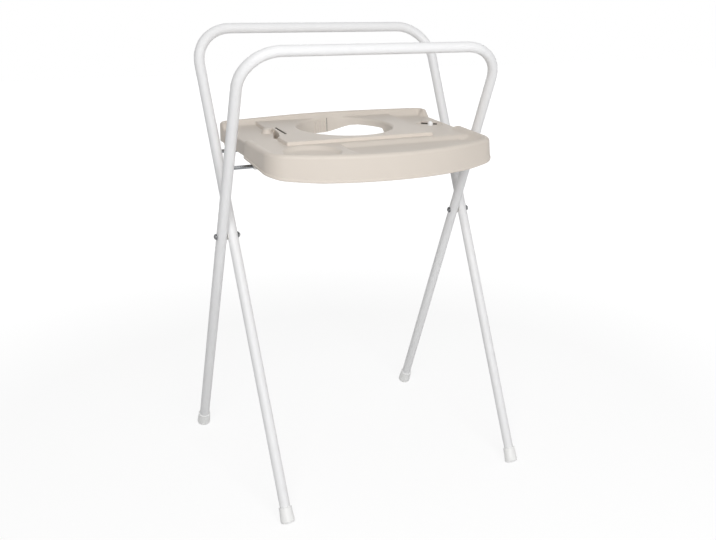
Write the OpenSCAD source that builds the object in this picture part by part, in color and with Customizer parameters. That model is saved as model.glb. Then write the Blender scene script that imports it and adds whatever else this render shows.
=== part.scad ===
// Folding stand for a baby bath: two crossing tube frames and a moulded tray.
// Units are millimetres.  +Z is up, the front is towards -Y, and the floor is Z = 0.
// The origin is on the floor, midway between the legs and under the pivot axis.

/* [Frames] */
// outside diameter of the frame tube
tube_d = 22; // [20:0.5:24]
// wall thickness of the frame tube
tube_wall = 1.2; // [1:0.1:1.6]
// leg spacing of each frame, between tube centre lines
frame_w = 560; // [550:1:600]
// height of the pivot axis above the floor
pivot_h = 570; // [540:1:600]
// height of the rail centre lines above the floor
rail_h = 979; // [940:1:1020]
// distance from the pivot to a foot, measured along the floor
foot_reach = 275; // [250:1:300]
// centre-line radius of the two bends
bend_r = 80; // [60:1:100]

/* [Pivots] */
// thickness of the spacer washer between the crossing tubes
spacer_t = 1.2; // [1:0.1:2]
// gap left between parts that turn against each other
turn_gap = 0.3; // [0.2:0.05:0.5]
// diameter of the pivot bolt
bolt_d = 6; // [5:0.5:8]
// diameter of the bolt head and of the nut
head_d = 12; // [11:0.5:13]
// height of the bolt head and of the nut
head_h = 4; // [3:0.5:5]

/* [Feet] */
// height of a foot cap
foot_h = 35; // [30:1:40]
// diameter of a foot cap at its lower end
foot_d = 30; // [28:0.5:34]
// radius of a foot cap's lower edge
foot_edge = 5; // [4:0.5:6]

/* [Cross rods] */
// diameter of both cross rods
rod_d = 8; // [6:0.5:9]
// height of both cross rods above the floor
rod_h = 735; // [733:0.5:737]

/* [Tray] */
// gap between the tray's front part and the nearer leg on each side
tray_gap = 2.75; // [2.5:0.25:6]
// how much narrower than the front part the rear part is, on each side
rear_step = 6.5; // [6:0.5:10]
// reach of the front edge from the pivot plane
tray_front = 278; // [270:1:290]
// reach of the back face from the pivot plane
tray_back = 135; // [132:1:137]
// height of the middle platform and of the front edge above the floor
deck_h = 786; // [784:1:788]
// how much lower the shelves beside and before the platform lie
shelf_drop = 7; // [5:1:8]
// height of the raised back rim above the deck
rim_h = 12; // [10:1:16]
// wall thickness of the moulding
skin = 3; // [2.5:0.1:3.5]
// height of the front skirt
skirt_h = 55; // [50:1:56]
// radius of the round opening
well_r = 104; // [95:1:105]
// depth of the collar round the opening
collar_h = 34; // [30:1:36]
// depth of the dish and of the long recess below the shelves
recess_h = 8; // [5:1:9]

/* [Hidden] */
$fn = 96;

lean = atan(foot_reach / pivot_h);      // angle of every leg from upright
tube_r = tube_d / 2;
bore_r = tube_r - tube_wall;
frame_gap = tube_d + spacer_t + turn_gap; // sideways offset of the two frames
half_w = frame_w / 2;
up = (rail_h - pivot_h) / cos(lean);    // pivot to rail centre, along the leg
down = pivot_h / cos(lean);             // pivot to floor, along the leg
worn = 1.2;                             // depth of the flat worn into each foot's lower edge
foot_r = foot_d / 2;
foot_lift = ((foot_r - foot_edge) * sin(lean) + foot_edge - worn) / cos(lean) - foot_edge;
foot_floor = 7;                         // thickness of a foot cap's end
foot_top_r = tube_r + 2.4;
rod_r = rod_d / 2;
rod_y = (rod_h - pivot_h) * tan(lean);  // both rods lie on the leg centre lines
rod_up = (rod_h - pivot_h) / cos(lean);
rod_in = 5;                             // how far a rod's end passes the tube's centre line
bolt_r = bolt_d / 2;
run_c = 0.08;                           // radial clearance of a running fit
washer_t = 1;
washer_r = head_d / 2 + 1;

// left and right tube centres of the frames, the front-rail frame first
xa = [-half_w - frame_gap / 2, half_w - frame_gap / 2];
xb = [-half_w + frame_gap / 2, half_w + frame_gap / 2];

// ---------- frames ----------
module at_front_rail() translate([0, 0, pivot_h]) rotate([lean, 0, 0]) children();
module at_rear_rail() translate([0, 0, pivot_h]) rotate([-lean, 0, 0]) children();

// one bent rod of radius r: two legs, two bends and a rail, in the frame's own plane
module bent(x, r, low) {
  w = x[1] - x[0];
  for (i = [0, 1]) translate([x[i], 0, up - bend_r]) mirror([0, 0, 1])
    cylinder(r = r, h = up - bend_r - low);
  translate([x[0] + bend_r, 0, up]) rotate([0, 90, 0]) cylinder(r = r, h = w - 2 * bend_r);
  translate([x[0] + bend_r, 0, up - bend_r]) rotate([90, 0, 0]) rotate([0, 0, 90])
    rotate_extrude(angle = 90) translate([bend_r, 0]) circle(r = r);
  translate([x[1] - bend_r, 0, up - bend_r]) rotate([90, 0, 0])
    rotate_extrude(angle = 90) translate([bend_r, 0]) circle(r = r);
}

// hollow tube frame; bolt_c is the bolt's clearance, the rod enters from between the legs
module frame(x, bolt_c) {
  low = -down + foot_lift + foot_floor;
  difference() {
    bent(x, tube_r, low);
    bent(x, bore_r, low - 1);
    for (i = [0, 1]) translate([x[i] - tube_d, 0, 0]) rotate([0, 90, 0])
      cylinder(r = bolt_r + bolt_c, h = 2 * tube_d);
    translate([x[0], 0, rod_up]) rotate([0, 90, 0]) cylinder(r = rod_r, h = tube_d);
    translate([x[1], 0, rod_up]) rotate([0, -90, 0]) cylinder(r = rod_r, h = tube_d);
  }
}
module frame_front_rail() color("white") at_front_rail() frame(xa, run_c);
module frame_rear_rail() color("white") at_rear_rail() frame(xb, 0);

// cross rod, both ends let into the tubes
module rod(x) translate([x[0] - rod_in, 0, rod_up]) rotate([0, 90, 0])
  cylinder(r = rod_r, h = x[1] - x[0] + 2 * rod_in);
module rod_front() color("silver") at_front_rail() rod(xa);
module rod_rear() color("silver") at_rear_rail() rod(xb);

// ---------- feet ----------
module foot_profile() difference() {
  union() {
    polygon([[0, 0], [foot_r - foot_edge, 0], [foot_r - foot_edge, foot_edge],
      [foot_r, foot_edge], [foot_top_r + 0.6, foot_h - 1.5], [foot_top_r - 0.6, foot_h],
      [0, foot_h]]);
    intersection() {
      translate([foot_r - foot_edge, foot_edge]) circle(r = foot_edge);
      translate([foot_r - foot_edge, 0]) square([foot_edge, foot_edge]);
    }
  }
  translate([-1, foot_floor]) square([tube_r + 1, foot_h]);
}
module foot(x) translate([x, 0, -down + foot_lift]) rotate_extrude() foot_profile();
// the floor flattens the low side of the lower edge
module above_floor() difference() {
  children();
  translate([-frame_w, -frame_w, -2 * foot_h]) cube([2 * frame_w, 2 * frame_w, 2 * foot_h]);
}
module foot_front_left() color("whitesmoke") above_floor() at_rear_rail() foot(xb[0]);
module foot_front_right() color("whitesmoke") above_floor() at_rear_rail() foot(xb[1]);
module foot_back_left() color("whitesmoke") above_floor() at_front_rail() foot(xa[0]);
module foot_back_right() color("whitesmoke") above_floor() at_front_rail() foot(xa[1]);

// ---------- pivots ----------
// everything on a pivot is stationed along X from the outermost tube face, which is x = 0
pack_l = 2 * tube_d + spacer_t + turn_gap;   // outer tube face to inner tube face
// domed disc standing on x = 0 and reaching to -h
module dome(r, h) rotate([0, -90, 0]) {
  cylinder(r = r, h = h * 0.35);
  intersection() {
    translate([0, 0, h - (r * r + h * h) / (2 * h)]) sphere(r = (r * r + h * h) / (2 * h));
    translate([0, 0, h * 0.3]) cylinder(r = r * 0.98, h = h);
  }
}
module along(l, r) rotate([0, 90, 0]) cylinder(r = r, h = l);
module bolt(head_c, nut_c) {
  translate([-head_c - washer_t, 0, 0]) dome(head_d / 2, head_h);
  translate([-head_c - washer_t, 0, 0]) along(head_c + 2 * washer_t + pack_l + nut_c + head_h * 0.6, bolt_r);
}
module nut(nut_c) translate([pack_l + nut_c + washer_t, 0, 0]) difference() {
  mirror([1, 0, 0]) dome(head_d / 2 - 0.5, head_h + 0.5);
  translate([-1, 0, 0]) along(1 + head_h * 0.6, bolt_r);
}
module washer(x) translate([x, 0, 0]) difference() {
  along(washer_t, washer_r);
  translate([-1, 0, 0]) along(washer_t + 2, bolt_r);
}
module washers(head_c, nut_c) {
  washer(-head_c - washer_t);
  washer(pack_l + nut_c);
}
module spacer(x) translate([x, 0, 0]) difference() {
  along(spacer_t, tube_r - 2);
  translate([-1, 0, 0]) along(spacer_t + 2, bolt_r);
}
// left pivot: the front-rail frame is the outer tube and turns; right pivot: it is the inner one
module left_side() translate([xa[0] - tube_r, 0, pivot_h]) children();
module right_side() translate([xb[1] + tube_r, 0, pivot_h]) mirror([1, 0, 0]) children();
module pivot_bolt_left() color("dimgray") left_side() bolt(turn_gap, 0);
module pivot_bolt_right() color("dimgray") right_side() bolt(0, turn_gap);
module pivot_nut_left() color("dimgray") left_side() nut(0);
module pivot_nut_right() color("dimgray") right_side() nut(turn_gap);
module pivot_washers_left() color("silver") left_side() washers(turn_gap, 0);
module pivot_washers_right() color("silver") right_side() washers(0, turn_gap);
module pivot_spacer_left() color("gainsboro") left_side() spacer(tube_d + turn_gap);
module pivot_spacer_right() color("gainsboro") right_side() spacer(tube_d);

// ---------- tray ----------
front_r = 500;                          // plan radius of the front edge
corner_r = 55;                          // plan radius of the two front corners
rear_r = 22;                            // plan radius of the two rear corners
edge_r = 8;                             // rounding of the skirt's top edge
draft = 2.6;                            // the skirt leans out by this much towards its foot
lip_h = 4.5;                            // height of the bead along the skirt's foot
lip_t = 1;
half_t = half_w - frame_gap / 2 - tube_r - tray_gap;
half_rear = half_t - rear_step;
tray_w = 2 * half_t;
tray_rear_w = 2 * half_rear;
step_y = -58;                           // where the narrow rear part begins
front_c = front_r - tray_front;         // centre of the front edge, on the Y axis
corner_x = half_t - corner_r;
corner_y = front_c - sqrt(pow(front_r - corner_r, 2) - corner_x * corner_x);
sweep = asin(corner_x / (front_r - corner_r));
shelf_h = deck_h - shelf_drop;
side_low = shelf_h - 29;                // foot of the side and back walls
skirt_low = deck_h - skirt_h;
rim_t = 13;                             // thickness of the back rim
well_y = tray_back - rim_t - well_r;    // centre of the round opening
pan_in = draft + edge_r + 1.5;          // where the skirt's flat top turns down to the shelves
plat_y = -110;                          // front of the middle platform
plat_l = -half_t + 76.5;                // its left side
plat_r = half_t - 99.5;                 // its right side
dish_c = [-half_t + 106.5, -168];       // centre of the dish
dish_r = 54;
recess_l = -half_t + 178.5;             // left end of the long recess
recess_r = half_t - 18.5;               // its right end
rim_y = tray_back - rim_t;              // front of the back rim

// n + 1 points on an arc of radius r, from angle a0 to a1
function arc(x, y, r, a0, a1, n = 8) = [for (i = [0:n]) let (a = a0 + (a1 - a0) * i / n)
  [x + r * cos(a), y + r * sin(a)]];
// section of the skirt: the outside foot is at x = 0 and the deck joins at the left
module skirt_section() {
  top = deck_h - edge_r;
  polygon(concat(
    [[-skin, skirt_low], [lip_t, skirt_low], [lip_t, skirt_low + lip_h],
      [-draft * lip_h / (top - skirt_low), skirt_low + lip_h]],
    arc(-draft - edge_r, top, edge_r, 0, 90),
    [[-draft - edge_r - 3, deck_h], [-draft - edge_r - 3, deck_h - skin]],
    arc(-draft - edge_r, top, edge_r - skin, 90, 0)));
}
// plan of the deck's front part, whose outline runs inside the skirt's flat top
module front_plan(in) polygon(concat(
  [[half_t - in, step_y]],
  arc(corner_x, corner_y, corner_r - in, 0, sweep - 90),
  arc(0, front_c, front_r - in, sweep - 91, -89 - sweep, 24),
  arc(-corner_x, corner_y, corner_r - in, -90 - sweep, -180),
  [[in - half_t, step_y]]));
// plan of the rear part, reaching forward to y0
module rear_plan(in, y0) {
  translate([-half_rear + in, y0]) square([tray_rear_w - 2 * in, tray_back - rear_r - y0]);
  translate([-half_rear + rear_r, y0]) square([tray_rear_w - 2 * rear_r, tray_back - in - y0]);
  for (s = [-1, 1]) translate([s * (half_rear - rear_r), tray_back - rear_r])
    circle(r = rear_r - in);
}
module slab(z0, z1) translate([0, 0, z0]) linear_extrude(height = z1 - z0) children();

// skirt all round the front part
module skirt() {
  translate([0, front_c, 0]) rotate_extrude(start = -90 - sweep, angle = 2 * sweep, $fn = 360)
    translate([front_r, 0]) skirt_section();
  for (s = [0, 1]) mirror([s, 0, 0]) {
    // the corner reaches a little into its neighbours and lies 0.05 mm inside them
    translate([corner_x, corner_y, 0]) rotate_extrude(start = sweep - 90.4, angle = 90.8 - sweep)
      translate([corner_r - 0.05, 0]) skirt_section();
    translate([half_t, step_y, 0]) rotate([90, 0, 0])
      linear_extrude(height = step_y - corner_y) skirt_section();
    // plate that closes the skirt's back end
    translate([half_t, step_y, 0]) rotate([90, 0, 0]) linear_extrude(height = skin) polygon(concat(
      [[-pan_in - skin, deck_h - 1], [-pan_in - skin, shelf_h - 2 * skin - 3],
        [-12, shelf_h - 2 * skin - 3], [-12, side_low + 10], [-1.5, side_low + 10]],
      arc(-draft - edge_r, deck_h - edge_r, edge_r - 1, 0, 90)));
  }
}
// the dish and the long recess, as plans
module dish_plan(in) {
  intersection() {
    translate(dish_c) circle(r = dish_r - in);
    translate(dish_c - [dish_r + 3, dish_r + 3])
      square([2 * dish_r + 6, plat_y - dish_c[1] + dish_r + 1 - in]);
  }
}
module recess_plan(in) difference() {
  inside = in + draft + edge_r + 8;
  intersection() {
    translate([0, front_c]) circle(r = front_r - inside, $fn = 360);
    translate([recess_l + in, -tray_front - 22])
      square([recess_r - recess_l - 2 * in, plat_y + tray_front + 11 - in]);
  }
  // rounds the front right corner
  difference() {
    translate([corner_x + 15, corner_y - 120]) square([60, 120]);
    translate([corner_x, corner_y]) circle(r = corner_r - inside + 1.1);
  }
}
module cup() slab(shelf_h - recess_h - skin, shelf_h - 1) children();
// plan of the middle platform; its left side steps in beside the cut-out
module platform_plan() polygon([[plat_l, plat_y], [plat_r, plat_y], [plat_r, rim_y + 2],
  [plat_l + 10, rim_y + 2], [plat_l + 6, 46], [plat_l + 22, 42], [plat_l + 15, -12],
  [plat_l + 7, -44], [plat_l, -50]]);
// hollow under the platform, all but the collar
module platform_pocket() difference() {
  union() {
    translate([plat_l + 33, plat_y + skin])
      square([plat_r - plat_l - 33 - skin, rim_y - 1 - plat_y - skin]);
    translate([plat_l + skin, plat_y + skin]) square([34 - skin, -50 - plat_y]);
  }
  translate([0, well_y]) circle(r = well_r + skin);
}
module left_cut_plan() translate([plat_l, 0])
  polygon([[-2, -33], [8, -43], [17, -12], [23.5, 41]]);
module slit_plan() translate([plat_l + 26.5, -25]) square([3, 77]);
right_c = [half_t - 44.5, 14];          // centre of the small round hollow
module deck() difference() {
  union() {
    // pan of the front part, and the raised platform
    slab(shelf_h - skin, deck_h) front_plan(pan_in);
    slab(shelf_h - skin, deck_h) platform_plan();
    // shelves
    slab(shelf_h - skin, shelf_h) rear_plan(0.5, step_y - 1);
    // undersides of the two hollows
    cup() dish_plan(-skin);
    cup() recess_plan(-skin);
    translate([right_c[0], right_c[1], shelf_h - skin - 4]) cylinder(r = 35, h = 5);
    // collar of the round opening, and the rib beside the cut-out
    translate([0, well_y, deck_h - collar_h]) cylinder(r = well_r + skin, h = collar_h - 1);
    translate([plat_l, 0, 0]) slab(deck_h - 29, deck_h - 1) polygon([[8, -43], [17, -12],
      [23.5, 41], [26, 41], [19.5, -12.5], [10.5, -44]]);
  }
  slab(shelf_h, deck_h + 1) difference() {
    front_plan(pan_in + skin);
    platform_plan();
  }
  slab(shelf_h - skin - 1, deck_h - skin) platform_pocket();
  slab(shelf_h - recess_h, deck_h + 1) dish_plan(0);
  slab(shelf_h - recess_h, deck_h + 1) recess_plan(0);
  translate([right_c[0], right_c[1], shelf_h - 4]) cylinder(r = 32, h = 10);
  translate([0, well_y, deck_h - collar_h - 1]) cylinder(r = well_r, h = collar_h + 40);
  slab(shelf_h - 40, deck_h + 9) left_cut_plan();
  slab(shelf_h - 20, deck_h + 9) slit_plan();
  // slot in the round hollow
  translate([right_c[0] - 7, right_c[1] + 10, shelf_h - 20]) cube([34, 7, 40]);
  // seat of the stud
  translate([right_c[0], right_c[1] - 2, shelf_h - 20]) cylinder(r = 3, h = 40);
  // notch in the back of the collar's foot
  translate([48, well_y + 55, deck_h - collar_h - 1]) cube([60, 60, 15]);
  // drain holes
  for (p = [dish_c + [46, 2], [recess_l + 10, -130], [recess_r - 24, -140]])
    translate([p[0], p[1], deck_h - 40]) cylinder(r = 2, h = 60);
}
// back rim: a rounded ridge along the back that turns the corners and slopes away
module rim_section() translate([-rim_t, 0]) {
  square([rim_t, deck_h + rim_h - rim_t / 2 - side_low]);
  translate([rim_t / 2, deck_h + rim_h - rim_t / 2 - side_low]) circle(r = rim_t / 2);
}
module rim_hollow() translate([-rim_t + skin, -1])
  square([rim_t - 2 * skin, deck_h + rim_h - rim_t / 2 - side_low + 1]);
// a section carried along the back, round both corners and some way along the sides
module rim_run(side) difference() {
  union() {
    for (s = [0, 1]) mirror([s, 0, 0]) translate([half_rear - rear_r, tray_back - rear_r, side_low]) {
      rotate_extrude(angle = 90) translate([rear_r, 0]) children(0);
      translate([rear_r, 0, 0]) rotate([90, 0, 0]) linear_extrude(height = side) children(0);
    }
    translate([-half_rear + rear_r, tray_back, side_low]) rotate([90, 0, 90])
      linear_extrude(height = tray_rear_w - 2 * rear_r) children(0);
  }
  // slope of the rim's two ends
  for (s = [-1, 1]) translate([s * half_rear, tray_back - rear_r - 26, shelf_h - 0.5])
    rotate([42, 0, 0]) translate([-20, -20, 0]) cube([40, 60, 60]);
}
// side and back walls of the rear part
module rear_walls() slab(side_low, shelf_h - 1) difference() {
  rear_plan(0, step_y - 4);
  rear_plan(skin, step_y - 5);
}
// the skirt's foot rises round the corners and along the sides
foot_rise = side_low - skirt_low;
module under_cut() translate([-half_t - 20, 0, 0]) rotate([90, 0, 90])
  linear_extrude(height = tray_w + 40)
    polygon([[-252, skirt_low - 5], [-252, skirt_low], [-225, skirt_low + foot_rise * 0.2],
      [-205, skirt_low + foot_rise * 0.44], [-176, skirt_low + foot_rise * 0.65],
      [-140, skirt_low + foot_rise * 0.77], [step_y - 2, side_low],
      [tray_back + 10, side_low], [tray_back + 10, skirt_low - 5]]);
// the two eyes a side that hold the rear rod
eye_r = rod_r + 4;
module eye(x) translate([x, 0, 0]) rotate([90, 0, 90]) linear_extrude(height = skin) {
  translate([rod_y, rod_h]) circle(r = eye_r);
  polygon([[rod_y - eye_r, rod_h], [rod_y + eye_r, rod_h], [rod_y + 16, side_low + 12],
    [rod_y - 16, side_low + 12]]);
  translate([rod_y - 16, side_low + 12]) square([32, shelf_h - skin + 1 - side_low - 12]);
}
module eyes() for (x = [half_rear - skin, half_rear - 17])
  for (s = [0, 1]) mirror([s, 0, 0]) eye(x);
// screw bosses of the front clips
clip_x = half_t - 18.5;
clip_w = 12;
boss_y = -rod_y + 26;
boss_h = 10;
screw_r = 1.6;
module boss() translate([clip_x, boss_y, shelf_h - skin - boss_h]) cylinder(r = 5, h = boss_h + 1);
module tray() color("tan") difference() {
  union() {
    difference() {
      union() {
        skirt();
        rear_walls();
      }
      under_cut();
    }
    deck();
    rim_run(24) rim_section();
    eyes();
    for (s = [0, 1]) mirror([s, 0, 0]) boss();
    // rounded boss beside the left cut-out
    translate([plat_l + 5, 33, shelf_h - 1]) cylinder(r1 = 10, r2 = 7, h = 7);
  }
  rim_run(1) rim_hollow();
  translate([-half_t - 20, rod_y, rod_h]) along(tray_w + 40, rod_r + run_c);
  for (s = [0, 1]) mirror([s, 0, 0]) translate([clip_x, boss_y, shelf_h - skin - boss_h - 1])
    cylinder(r = screw_r, h = boss_h);
}
module tray_stud() color("white") translate([right_c[0], right_c[1] - 2, shelf_h - 4]) {
  translate([0, 0, -9]) cylinder(r = 3, h = 9.5);
  cylinder(r = 6, h = 4);
  translate([0, 0, 4]) intersection() {
    sphere(r = 6);
    translate([0, 0, -1]) cylinder(r = 7, h = 8);
  }
}

// ---------- front clips ----------
clip_z = shelf_h - skin - boss_h;       // the clip's flange lies under its boss
module clip_section() difference() {
  union() {
    translate([-rod_y - 12, rod_h - 4]) square([24, clip_z - rod_h + 4]);
    translate([-rod_y - 12, clip_z - skin]) square([46, skin]);
  }
  translate([-rod_y, rod_h]) circle(r = rod_r + turn_gap);
  // way out for the rod, down and back
  translate([-rod_y, rod_h]) rotate(-52) translate([0, -rod_r - turn_gap])
    square([40, 2 * (rod_r + turn_gap)]);
  translate([-rod_y, rod_h - 20]) square([40, 20]);
}
module clip() difference() {
  translate([clip_x - clip_w / 2, 0, 0]) rotate([90, 0, 90]) linear_extrude(height = clip_w)
    clip_section();
  translate([clip_x, boss_y, clip_z - skin - 1]) cylinder(r = screw_r, h = skin + 2);
}
module clip_screw() translate([clip_x, boss_y, 0]) {
  translate([0, 0, clip_z - skin]) cylinder(r = screw_r, h = skin + boss_h - 2);
  translate([0, 0, clip_z - skin - 2.4]) cylinder(r1 = 2.4, r2 = 3.2, h = 2.4);
}
module front_clip_left() color("gainsboro") mirror([1, 0, 0]) clip();
module front_clip_right() color("gainsboro") clip();
module front_clip_screw_left() color("silver") mirror([1, 0, 0]) clip_screw();
module front_clip_screw_right() color("silver") clip_screw();

frame_rear_rail();
frame_front_rail();
foot_front_left();
foot_front_right();
foot_back_left();
foot_back_right();
pivot_bolt_left();
pivot_bolt_right();
pivot_nut_left();
pivot_nut_right();
pivot_spacer_left();
pivot_spacer_right();
pivot_washers_left();
pivot_washers_right();
rod_rear();
rod_front();
tray();
tray_stud();
front_clip_left();
front_clip_right();
front_clip_screw_left();
front_clip_screw_right();
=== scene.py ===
# %% [markdown]
# # A folding stand for a baby bath
# Two white tube frames cross like an X and carry a beige moulded tray.  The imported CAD
# model is the measured frame of this scene: every piece made here sits where the CAD has
# it, in metres, and rides on the body that moves it.

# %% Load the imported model
import math
import bmesh
import bpy
import numpy as np
from mathutils import Matrix, Vector
from mathutils.geometry import delaunay_2d_cdt


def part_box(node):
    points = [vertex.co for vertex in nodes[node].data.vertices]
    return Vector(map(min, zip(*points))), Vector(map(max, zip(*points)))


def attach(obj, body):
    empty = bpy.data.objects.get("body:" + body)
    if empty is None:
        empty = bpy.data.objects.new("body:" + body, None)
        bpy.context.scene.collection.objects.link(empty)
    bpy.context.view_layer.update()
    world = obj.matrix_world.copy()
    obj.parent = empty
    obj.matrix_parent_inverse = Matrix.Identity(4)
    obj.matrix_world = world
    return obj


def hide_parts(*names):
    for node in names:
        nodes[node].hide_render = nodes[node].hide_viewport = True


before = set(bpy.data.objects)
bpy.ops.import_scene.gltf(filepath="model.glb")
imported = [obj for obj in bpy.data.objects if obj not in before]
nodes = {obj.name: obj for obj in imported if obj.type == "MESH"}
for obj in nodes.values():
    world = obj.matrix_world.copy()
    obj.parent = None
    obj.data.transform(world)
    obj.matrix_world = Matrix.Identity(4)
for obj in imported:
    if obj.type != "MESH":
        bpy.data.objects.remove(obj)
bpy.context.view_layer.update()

# %% [markdown]
# ## Sizes
# All lengths below are in millimetres, as on a drawing, and `MM` turns them into metres
# where a mesh is made.  Frames, caps and bolts use the CAD source's own numbers.  The tray
# starts from them too, but its soft forms, such as the dish, are drawn a little wider than
# in the solid, as the photograph shows them.

# %% Sizes of the frames and of the tray
MM = 0.001
PIVOT_H, RAIL_H, FOOT_REACH = 570.0, 979.0, 275.0
TUBE_R, BEND_R = 11.0, 80.0
LEAN = math.atan2(FOOT_REACH, PIVOT_H)
UP = (RAIL_H - PIVOT_H) / math.cos(LEAN)      # along the leg, from the pivot to the rail
DOWN = PIVOT_H / math.cos(LEAN)               # and from the pivot to the floor
FRONT_RAIL_X = (-291.75, 268.25)      # tube centres of the frame with the front rail
REAR_RAIL_X = (-268.25, 291.75)
DECK, SHELF, SKIRT_LOW, SIDE_LOW = 786.0, 779.0, 731.0, 750.0
RIM_TOP, SKIN = 798.0, 3.0
print(f"lean {math.degrees(LEAN):.2f} degrees, tube {2 * TUBE_R:.0f} mm")

# %% [markdown]
# ## Camera
# The camera was solved from the photograph: the four feet, both pivots and the bends of
# the rails fix its place, its turn and its focal length.  The picture was cropped off
# centre, so the lens is shifted instead of turned.

# %% Camera
PHOTO_W, PHOTO_H, SENSOR_W = 716, 540, 36.0
FOCAL_PX, AXIS_PX = 1014.3, (546.3, 312.2)      # focal length and optical axis in pixels
CAM_AT = (-0.8804, -2.1042, 1.2268)
CAM_YAW, CAM_PITCH, CAM_ROLL = 34.35, -20.91, 3.05

def aim(yaw, pitch, roll):
    """Camera axes from angles in degrees: yaw from +Y towards +X, pitch up, roll."""
    yaw, pitch, roll = (math.radians(a) for a in (yaw, pitch, roll))
    ahead = Vector((math.sin(yaw) * math.cos(pitch), math.cos(yaw) * math.cos(pitch),
                    math.sin(pitch)))
    right = Vector((math.cos(yaw), -math.sin(yaw), 0.0))
    above = right.cross(ahead)
    x = math.cos(roll) * right + math.sin(roll) * above
    y = -math.sin(roll) * right + math.cos(roll) * above
    return Matrix((x, y, -ahead)).transposed().to_4x4()

cam = bpy.data.objects.new("camera", bpy.data.cameras.new("camera"))
bpy.context.scene.collection.objects.link(cam)
cam.matrix_world = Matrix.Translation(CAM_AT) @ aim(CAM_YAW, CAM_PITCH, CAM_ROLL)
cam.data.sensor_width = SENSOR_W
cam.data.lens = FOCAL_PX / PHOTO_W * SENSOR_W
cam.data.shift_x = (PHOTO_W / 2 - AXIS_PX[0]) / PHOTO_W
cam.data.shift_y = (AXIS_PX[1] - PHOTO_H / 2) / PHOTO_W
cam.data.clip_end = 60.0
bpy.context.scene.camera = cam
print(f"lens {cam.data.lens:.1f} mm, shift {cam.data.shift_x:.3f}, {cam.data.shift_y:.3f}")

# %% [markdown]
# ## Shared effects
# Paint, moulded plastic and zinc all drift a little in tone, carry a fine grain and wear
# at their edges.  Each effect is one node group with named inputs, and every material
# below places the groups with its own values.

# %% Helpers for node groups
def effect(name, inputs, outputs):
    """An empty shader node group; inputs and outputs are {name: default}."""
    group = bpy.data.node_groups.new(name, "ShaderNodeTree")
    kinds = {3: "NodeSocketVector", 4: "NodeSocketColor", 1: "NodeSocketFloat"}
    for way, sockets in (("INPUT", inputs), ("OUTPUT", outputs)):
        for label, value in sockets.items():
            size = len(value) if isinstance(value, tuple) else 1
            sock = group.interface.new_socket(label, in_out=way, socket_type=kinds[size])
            if way == "INPUT":
                sock.default_value = value
    return group, group.nodes.new("NodeGroupInput"), group.nodes.new("NodeGroupOutput")

def add(tree, kind, values=None, **options):
    """A new node with its options set and its inputs given as values or linked sockets."""
    node = tree.nodes.new(kind)
    for key, value in options.items():
        setattr(node, key, value)
    for key, value in (values or {}).items():
        if isinstance(value, bpy.types.NodeSocket):
            tree.links.new(value, node.inputs[key])
        else:
            node.inputs[key].default_value = value
    return node

def maths(tree, operation, a, b=0.0, clamp=False):
    """The result of one Math node."""
    return add(tree, "ShaderNodeMath", {0: a, 1: b}, operation=operation,
               use_clamp=clamp).outputs[0]

# %% [markdown]
# ### Tone drift
# No paint or moulding has exactly one tone.  A slow noise swings colour and roughness
# together by a few per cent; an image texture could do it, but would show its seams.

# %% Tone drift: slow changes of colour and roughness over the surface
DRIFT, gin, gout = effect("tone drift",
    {"Vector": (0.0, 0.0, 0.0), "Color": (0.8, 0.8, 0.8, 1.0), "Amount": 0.04,
     "Size": 0.08, "Roughness": 0.4, "Roughness drift": 0.05},
    {"Color": (0.8, 0.8, 0.8, 1.0), "Roughness": 0.4})
scale = maths(DRIFT, "DIVIDE", 1.0, gin.outputs["Size"])
slow = add(DRIFT, "ShaderNodeTexNoise", {"Vector": gin.outputs["Vector"], "Scale": scale,
                                         "Detail": 4.0, "Roughness": 0.55}).outputs["Fac"]
swing = maths(DRIFT, "MULTIPLY", maths(DRIFT, "SUBTRACT", slow, 0.5), 2.0)
bright = maths(DRIFT, "ADD", 1.0, maths(DRIFT, "MULTIPLY", swing, gin.outputs["Amount"]))
tone = add(DRIFT, "ShaderNodeVectorMath", {0: gin.outputs["Color"], "Scale": bright},
           operation="SCALE").outputs[0]
rough = maths(DRIFT, "ADD", gin.outputs["Roughness"],
              maths(DRIFT, "MULTIPLY", swing, gin.outputs["Roughness drift"]), clamp=True)
DRIFT.links.new(tone, gout.inputs["Color"])
DRIFT.links.new(rough, gout.inputs["Roughness"])
print(DRIFT.name, "-", len(DRIFT.nodes), "nodes")

# %% [markdown]
# ### Fine grain
# Orange peel in paint is soft, and the skin from an etched mould is pebbled.  One group
# blends a soft noise with small cells, and each finish chooses the mix.

# %% Grain: the fine relief of paint or of an etched mould
GRAIN, gin, gout = effect("fine grain",
    {"Vector": (0.0, 0.0, 0.0), "Size": 0.0012, "Softness": 0.5}, {"Height": 0.5})
scale = maths(GRAIN, "DIVIDE", 1.0, gin.outputs["Size"])
soft = add(GRAIN, "ShaderNodeTexNoise", {"Vector": gin.outputs["Vector"], "Scale": scale,
                                         "Detail": 2.0}).outputs["Fac"]
cells = add(GRAIN, "ShaderNodeTexVoronoi", {"Vector": gin.outputs["Vector"], "Scale": scale},
            feature="SMOOTH_F1").outputs["Distance"]
blend = add(GRAIN, "ShaderNodeMix", {"Factor": gin.outputs["Softness"], "A": cells, "B": soft})
GRAIN.links.new(blend.outputs["Result"], gout.inputs["Height"])
print(GRAIN.name, "-", len(GRAIN.nodes), "nodes")
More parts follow.
